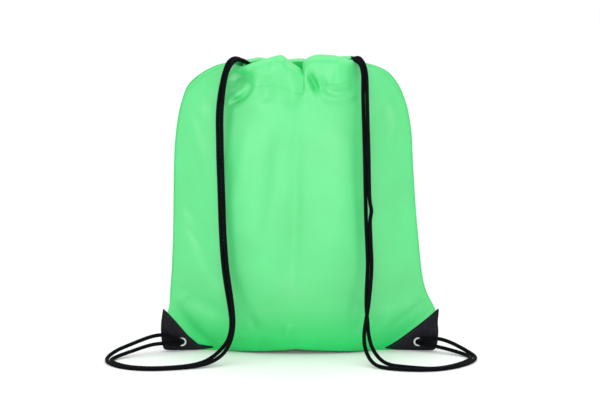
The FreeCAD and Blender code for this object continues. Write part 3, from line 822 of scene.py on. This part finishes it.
# Folds pressed into a panel after it has settled: a line of (x, z) points, the half width,
# how far the cloth stands out (or in, below zero), and how much one side steps over the other.
FRONT_CREASES = (
    (((-86, 309), (-77, 313), (-69, 318.5), (-63, 326), (-59.5, 333), (-57, 343)), 4.2, -6.0, 4.2),
    (((-61, 355), (-69, 352.5), (-79, 350)), 3.2, 4.0, 0.0),
    (((-61, 352), (-68.5, 346), (-76, 339.5), (-84, 331)), 6.0, -12.5, 3.5),
    (((-63, 339), (-71, 327.5), (-81, 319)), 6.0, 5.5, 0.0),
    (((-41, 350), (-41, 336), (-38.5, 312)), 9.0, -4.5, 0.0),
    (((-20, 364), (-15.5, 348), (-9.5, 328), (-7, 306)), 9.0, 3.5, 0.0),
    (((8, 349), (13, 343), (18, 334), (20.5, 325)), 4.2, -9.0, 2.5),
    (((26, 345), (27.5, 336), (27, 329)), 3.6, -4.0, 2.0),
    (((24, 330), (32.5, 324.5), (43.5, 321.5), (56.5, 323), (69, 326.5)), 5.5, 0.5, 3.6),
    (((37, 345), (52, 340), (65, 342)), 13.0, 4.5, 0.0),
    (((22, 309), (45, 309.5), (71, 309.5)), 2.2, -0.9, 0.7),
    (((84, 339), (88, 328), (91.5, 316)), 4.0, 2.2, 1.0),
    (((-108, 342), (-118, 318), (-122, 290)), 8.0, 2.2, 0.0),
    (((100, 340), (112, 316), (117, 286)), 8.0, 2.0, 0.0),
    (((-143.5, 188), (-127, 163), (-112, 132)), 7.0, -2.4, 1.2),
    (((-141.5, 159), (-130.5, 144.5), (-120, 129.5)), 5.0, -1.6, 1.0),
    (((-152.5, 62.5), (-144, 70.5), (-135, 77.5)), 3.0, 2.6, 2.4),
    (((-158, 58), (-147, 43), (-134, 28), (-121, 17), (-107, 10)), 6.0, -2.6, 0.0),
    (((147, 77.5), (155, 68), (161, 62)), 3.0, 2.6, 2.2),
    (((-77, 35), (-74.5, 48), (-71, 61)), 4.0, -3.0, 1.2),
    (((-64, 52), (-58.5, 41), (-54, 30)), 4.0, -4.0, 1.4),
    (((-21.5, 22), (-16, 30.5), (-11, 41)), 3.4, 3.6, 1.6),
    (((-29, 20), (-23, 30), (-18, 42)), 3.4, -3.6, 0.0),
    (((73, 72), (72, 59), (69, 37), (64, 23)), 7.0, -4.5, 0.0),
    (((102, 25), (121, 39), (140, 53), (160, 67)), 5.0, -2.8, 1.0),
    (((113, 44), (125.5, 55.5), (138.5, 68)), 4.0, -1.8, 0.8),
    (((-67, 300), (-68, 240), (-66, 170), (-60, 110)), 22.0, 4.0, 0.0),
    (((56, 300), (56, 240), (54, 170), (50, 110)), 22.0, 4.0, 0.0),
    (((-16, 300), (-17, 220), (-16, 140), (-12, 60)), 18.0, -3.0, 0.0),
)
BACK_CREASES = (
    (((-55, 350), (-58, 330), (-66, 305)), 6.0, 3.5, 1.0),
    (((-36, 352), (-36, 335), (-40, 312)), 5.0, -4.0, 1.0),
    (((-22, 352), (-22, 330), (-26, 300)), 7.0, 3.5, 0.0),
    (((-8, 352), (-8, 334), (-9, 315)), 4.0, -4.0, 1.5),
    (((8, 352), (9, 330), (10, 300)), 6.0, 3.5, 0.0),
    (((22, 352), (24, 335), (27, 318)), 4.5, -4.0, 1.0),
    (((38, 352), (42, 325), (50, 295)), 8.0, 3.5, 0.0),
    (((58, 350), (66, 330), (78, 305)), 5.0, -3.0, 1.2),
    (((130, 200), (112, 170), (98, 130)), 7.0, -2.4, 1.0),
    (((-150, 70), (-135, 84), (-118, 92)), 4.0, 2.4, 2.0),
    (((152, 68), (138, 80), (120, 90)), 4.0, 2.2, 1.8),
    (((-80, 22), (-70, 40), (-66, 60)), 4.5, -3.0, 1.0),
    (((10, 16), (16, 30), (18, 46)), 4.0, -2.6, 1.0),
    (((70, 20), (76, 36), (88, 52)), 4.5, -2.8, 1.0),
    (((-50, 290), (-54, 220), (-50, 130)), 24.0, 4.0, 0.0),
    (((48, 290), (52, 220), (50, 130)), 24.0, 4.0, 0.0),
)


def press(places, side, crease):
    """Stands the cloth out or in along one line, in an outward sense for its panel."""
    line, half_width, height, step = crease
    line, half_width = mm(line), half_width * MM
    flat = places[..., (0, 2)]
    best = np.full(flat.shape[:2], 1e9)
    across = np.zeros_like(best)
    share = np.zeros_like(best)
    starts = distances_along(line)
    for a, b, run, start in zip(line, line[1:], np.diff(starts), starts):
        way = (b - a) / run
        out = flat - a
        along = np.clip(out @ way, 0, run)
        gap = out - along[..., None] * way
        distance = np.linalg.norm(gap, axis=-1)
        nearer = distance < best
        best = np.where(nearer, distance, best)
        signed = out[..., 0] * way[1] - out[..., 1] * way[0]
        across = np.where(nearer, signed, across)
        share = np.where(nearer, (start + along) / starts[-1], share)
    taper = smoothstep(0, 0.25, share) * smoothstep(0, 0.25, 1 - share)
    taper = 0.15 + 0.85 * taper
    bell = np.exp(-(best / half_width) ** 2) * taper
    lift = height * bell + step * bell * np.clip(across / half_width, -1.5, 1.5) * 1.6
    lift = lift * smoothstep(1.0, 1.15, CORNER)
    lift = lift * side_fade(4)[None, :] * smoothstep(0, 4, ROWS - np.arange(ROWS + 1))[:, None]
    places[..., 1] += side * lift * MM


def relax(places, rounds, rows):
    """Evens out the cloth in some rows, leaving its edges and patches."""
    free = np.zeros(places.shape[:2])
    free[rows] = 1.0
    free[:, 0] = free[:, -1] = 0.0
    free[0] = free[-1] = 0.0
    free = (free * smoothstep(1.0, 1.2, CORNER))[..., None]
    for _ in range(rounds):
        middle = np.zeros_like(places)
        middle[1:-1, 1:-1] = (
            places[:-2, 1:-1] + places[2:, 1:-1] + places[1:-1, :-2] + places[1:-1, 2:]
        ) / 4
        places += (middle - places) * 0.5 * free


def underside(places):
    """How low the cloth reaches: on its seam, and a little clear of the floor in front and behind."""
    away = smoothstep(2 * MM, 34 * MM, abs(places[..., 1]))
    across = places[..., 0] + 5 * MM
    middle = np.exp(-(across / (34 * MM)) ** 2) + np.exp(-(across / (8 * MM)) ** 2)
    return 0.4 * MM + (8.0 + 2.5 * middle) * MM * away


def clear_of_cords(places, side):
    """Keeps the outer cloth behind the hanging cords and outside the ones in its casing."""
    gap = CORD_RADIUS + CORD_CLEARANCE
    for path in CORD_PATHS:
        for place in path[::4]:
            near = np.linalg.norm(places[..., (0, 2)] - place[[0, 2]], axis=-1)
            reach = np.sqrt(np.maximum(gap ** 2 - near ** 2, 0))
            hanging = place[1] < -24 * MM and place[2] > 30 * MM
            deep = 340 * MM < place[2] < 354 * MM and abs(place[0]) < 74 * MM
            in_casing = deep or (abs(place[0]) < 57 * MM and place[2] > 340 * MM)
            if side == FRONT and hanging:
                limit = np.where(near < gap, place[1] + reach, -1)
                places[..., 1] = np.maximum(places[..., 1], limit)
            elif in_casing and place[1] * side > 0:
                limit = np.where(near < gap, side * place[1] + reach, -1)
                outer = np.maximum(side * places[..., 1], limit)
                places[..., 1] = side * outer


def casing_flap(outer, side):
    """The hem turned down inside: from the fold to the row of stitches that closes the casing."""
    flap = []
    mouth = side_fade(8)[:, None]
    inward = mouth * np.array((0, -side, 0.0)) + (1 - mouth) * np.array((0, -side * 0.45, -0.55))
    for row in range(1, HEM_ROWS + 1):
        depth = CASING_DEPTH * math.sin(math.pi * row / HEM_ROWS) ** 0.8 + 0.5 * MM
        flap.append(outer[ROWS - row] + inward * depth)
    return np.array(flap)


def cut_eyelet_holes(panel):
    """Opens the flat corners round the eyelets' barrels."""
    shape = bmesh.new()
    shape.from_mesh(panel.data)
    for x in (-EYELET_X, EYELET_X):
        inner = []
        for vert in shape.verts:
            reach = math.hypot(vert.co.x - x, vert.co.z - EYELET_Z)
            if reach < HOLE_RADIUS * 0.8 and abs(vert.co.y) < 3 * MM:
                inner.append(vert)
        bmesh.ops.delete(shape, geom=inner, context="VERTS")
        for vert in shape.verts:
            if vert.is_boundary and math.hypot(vert.co.x - x, vert.co.z - EYELET_Z) < HOLE_RADIUS * 1.8:
                way = Vector((vert.co.x - x, vert.co.z - EYELET_Z)).normalized() * HOLE_RADIUS
                vert.co.x, vert.co.z = x + way[0], EYELET_Z + way[1]
    shape.to_mesh(panel.data)
    shape.free()


def make_panel(outer, side):
    face_name = FACES[side]
    full = np.concatenate([outer, casing_flap(outer, side)])
    rows = len(full) - 1
    up = np.concatenate([RISE[:, 0], PANEL_RISE + np.arange(1, HEM_ROWS + 1) * ROW_RISE])
    uvs = np.stack(np.meshgrid(ACROSS[0], up), -1).reshape(-1, 2)
    faces = grid_faces(rows, COLUMNS, 0, side == BACK)
    panel = new_mesh(face_name + "_cloth", full.reshape(-1, 3), faces, uvs=uvs)
    # The flap's faces take the second material, the nylon's copy with painted shade; the solidify gives it
    # to the inner walls as well.
    for face in panel.data.polygons:
        face.material_index = 1 if face.index >= (ROWS + 2) * COLUMNS else 0
    detail = panel.modifiers.new("detail", "SUBSURF")
    detail.levels = 1
    apply_modifiers(panel)
    cut_eyelet_holes(panel)
    walls = panel.modifiers.new("thickness", "SOLIDIFY")
    walls.thickness = CLOTH_THICKNESS
    walls.offset = -1
    walls.material_offset = 1
    walls.material_offset_rim = 0
    apply_modifiers(panel)
    finish_piece(
        panel, (NYLON, SHADED_NYLON), "bag_cloth", face_name + "_panel", face_name + "_casing",
    )
    return panel


def make_bag():
    panels = {side: starting_shape(side) for side in FACES}
    panels = simulate_bag(panels, SETTLE_FRAMES)
    for side, creases in ((FRONT, FRONT_CREASES), (BACK, BACK_CREASES)):
        outer = panels[side]
        relax(outer, 5, slice(0, ROWS - LIP_ROWS))
        relax(outer, 8, slice(SEAM_ROWS - 10, ROWS - LIP_ROWS + 1))
        for crease in creases:
            press(outer, side, crease)
        clear_of_cords(outer, side)
        relax(outer, 1, slice(0, ROWS - LIP_ROWS + 1))
        outer[..., 2] = np.maximum(outer[..., 2], underside(outer))
    return panels, {side: make_panel(panels[side], side) for side in FACES}


# Corner patches and stitching ----------------------------------------------------------------

# Outlines as seen from the front, (x, z), each from the middle of its slanting edge round its tips.
PATCH_OUTLINES = {
    "left": mm((
        (-146, 28.3), (-152.2, 35.8), (-160, 44.6), (-166.5, 51.2), (-168.9, 53.2), (-169.7, 50.5),
        (-171.6, 38), (-172.2, 26.5), (-171.5, 14), (-170, 6), (-166.5, 1.4), (-150, 0.7),
        (-128, 1.2), (-114, 2.8), (-107.6, 4), (-107.9, 5.6), (-116.5, 6), (-124, 7.6),
        (-130.5, 12.6), (-138.5, 19.6),
    )),
    "right": mm((
        (141, 28.6), (157.4, 41.8), (168.6, 51.8), (171.2, 53.4), (171.6, 50.2), (170.6, 36),
        (171.3, 25), (170.5, 12), (168.7, 4.6), (164.5, 0.9), (150, 0.6), (128, 1.0),
        (112, 2.2), (106, 3.2), (105.6, 4.6), (111, 7.2), (124.5, 16),
    )),
}
PATCH_POINTS = 150
PATCH_RINGS = (0, 0.12, 0.35, 0.7, 1.2, 2.2)       # distances in from the edge, mm
PATCH_FILL = 9                                      # rings from there to the eyelet hole
PATCH_STITCH_INSET = 2.3 * MM
STITCHED_FROM = 0.82                                # the slanting edge, as a share of the outline
STITCHED_SHARE = 0.35
STITCH_PITCH = 3.2 * MM
THREAD_RADIUS = 0.28 * MM
BOTTOM_SEAM = (0.21, 0.79)                          # the share of the width between the patches


def from_outline(points, outline):
    """Distance from each point to the closed outline."""
    nearest = np.full(len(points), 1.0)
    for a, b in zip(outline, np.roll(outline, -1, axis=0)):
        run = b - a
        share = np.clip(((points - a) @ run) / (run @ run), 0, 1)
        gap = points - a - share[:, None] * run
        nearest = np.minimum(nearest, np.linalg.norm(gap, axis=1))
    return nearest


def patch_face(points, outline, eyelet):
    """How far the leather's outer face stands from the bag's middle plane."""
    edge = from_outline(points, outline)
    ring = np.linalg.norm(points - eyelet, axis=1)
    stand = 1.3 + 0.9 * smoothstep(0, 5 * MM, edge)
    stand += 1.7 * smoothstep(6 * MM, 17 * MM, ring) * smoothstep(2 * MM, 9 * MM, edge)
    ripple = np.sin(points[:, 0] * 310 + points[:, 1] * 520) * np.sin(points[:, 0] * 170 - 1.0)
    stand += 0.3 * ripple * smoothstep(6 * MM, 9 * MM, ring) * smoothstep(1 * MM, 4 * MM, edge)
    inward = np.clip(1 - edge / (0.8 * MM), 0, 1)
    return (stand - 1.0 * (1 - np.sqrt(1 - inward ** 2))) * MM


def make_patch(side_name, face_name, side):
    """One leather corner: rings of points from its outline in to the eyelet's hole."""
    sign = -1 if side_name == "left" else 1
    corners = PATCH_OUTLINES[side_name]
    outline = smooth_line(np.vstack([corners, corners[:1]]), PATCH_POINTS + 1)[:-1]
    eyelet = np.array((sign * EYELET_X, EYELET_Z))
    way = unit(np.roll(outline, -1, axis=0) - np.roll(outline, 1, axis=0))
    inward = np.stack([-way[:, 1], way[:, 0]], 1)
    if ((eyelet - outline) * inward).sum(axis=1).mean() < 0:
        inward = -inward
    rings = [outline + inward * distance * MM for distance in PATCH_RINGS]
    hole = eyelet + unit(rings[-1] - eyelet) * HOLE_RADIUS
    for step in range(1, PATCH_FILL + 1):
        rings.append(rings[len(PATCH_RINGS) - 1] * (1 - step / PATCH_FILL) + hole * step / PATCH_FILL)
    flat = np.concatenate(rings)
    outer = np.stack([flat[:, 0], side * patch_face(flat, outline, eyelet), flat[:, 1]], 1)
    inner = np.stack([flat[:, 0], np.full(len(flat), side * 0.12 * MM), flat[:, 1]], 1)
    faces = []
    starts = [ring * PATCH_POINTS for ring in range(len(rings))]
    for layer in (0, len(flat)):
        for start, following in zip(starts, starts[1:]):
            faces += ring_band(layer + start, layer + following, PATCH_POINTS)
    for start in (starts[0], starts[-1]):
        faces += ring_band(start, len(flat) + start, PATCH_POINTS)
    patch = new_mesh(f"{side_name}_{face_name}_leather", np.vstack([outer, inner]), faces)
    shape = bmesh.new()
    shape.from_mesh(patch.data)
    bmesh.ops.recalc_face_normals(shape, faces=shape.faces)
    shape.to_mesh(patch.data)
    shape.free()
    finish_piece(patch, LEATHER, "patch_leather", f"{side_name}_{face_name}_patch")
    return patch, rings[0] + inward * PATCH_STITCH_INSET


def stitches(line, surface, pitch, radius):
    """Stitches along a line, each a short round thread drawn down at its ends, on a surface."""
    along = distances_along(line)
    parts = []
    for start in np.arange(pitch * 0.5, along[-1] - pitch, pitch):
        wanted = start + pitch * np.array((0.0, 0.1, 0.4, 0.7, 0.8))
        path = []
        for place, lift in zip(wanted, (-0.6, 0.3, 0.75, 0.3, -0.6)):
            spot, normal, _, _ = surface.find_nearest(Vector(read_line(line, along, place)))
            path.append(spot + normal * (radius * lift))
        sizes = [radius * share for share in (0.6, 0.95, 1.0, 0.95, 0.6)]
        parts.append(tube_parts(np.array(path), sizes, 6))
    return parts


def surface_of(piece):
    mesh = piece.data
    return BVHTree.FromPolygons([v.co for v in mesh.vertices], [p.vertices for p in mesh.polygons])


def make_stitching(name, lines, slot, node):
    """A piece of thread: all the stitches of some lines, each given with its surface."""
    parts = []
    for line, surface in lines:
        parts += stitches(np.asarray(line), surface, STITCH_PITCH, THREAD_RADIUS)
    verts, faces, uvs = join_parts(parts)
    thread = new_mesh(name, verts, faces, uvs=uvs)
    return finish_piece(thread, THREADS[slot], slot, node)


def make_corners():
    for side_name in ("left", "right"):
        for side, face_name in FACES.items():
            patch, inset = make_patch(side_name, face_name, side)
            start = int(PATCH_POINTS * STITCHED_FROM)
            run = np.roll(inset, PATCH_POINTS - start, axis=0)[:int(PATCH_POINTS * STITCHED_SHARE)]
            line = np.stack([run[:, 0], np.full(len(run), side * 2.4 * MM), run[:, 1]], 1)
            make_stitching(
                f"{side_name}_{face_name}_patch_stitches", [(line, surface_of(patch))],
                "black_thread", f"{side_name}_{face_name}_patch_thread",
            )
        for node in (side_name + "_eyelet", side_name + "_eyelet_washer"):
            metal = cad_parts[node]
            metal.data.materials.clear()
            metal.data.materials.append(NICKEL)


def make_seams(panels, cloths):
    """Casing stitches on each panel, and the rows down the sides and along the bottom."""
    surfaces = {side: surface_of(cloths[side]) for side in panels}
    for side, face_name in FACES.items():
        line = panels[side][SEAM_ROWS, 2:COLUMNS - 1]
        make_stitching(
            face_name + "_casing_stitches", [(line, surfaces[side])],
            "green_thread", face_name + "_casing_thread",
        )
    for side_name, edge, beside in (("left", 0, 1), ("right", -1, -2)):
        lines = []
        for side in FACES:
            seam = panels[side][14:SEAM_ROWS + 1]
            lines.append(((seam[:, edge] + seam[:, beside]) / 2, surfaces[side]))
        make_stitching(
            side_name + "_seam_stitches", lines, "green_thread", side_name + "_side_seam_thread",
        )
    columns = slice(int(COLUMNS * BOTTOM_SEAM[0]), int(COLUMNS * BOTTOM_SEAM[1]) + 1)
    lines = [((panels[side][0, columns] + panels[side][1, columns]) / 2, surfaces[side]) for side in panels]
    make_stitching("bottom_seam_stitches", lines, "green_thread", "bottom_seam_thread")


PANELS, CLOTHS = make_bag()
make_corners()
make_seams(PANELS, CLOTHS)
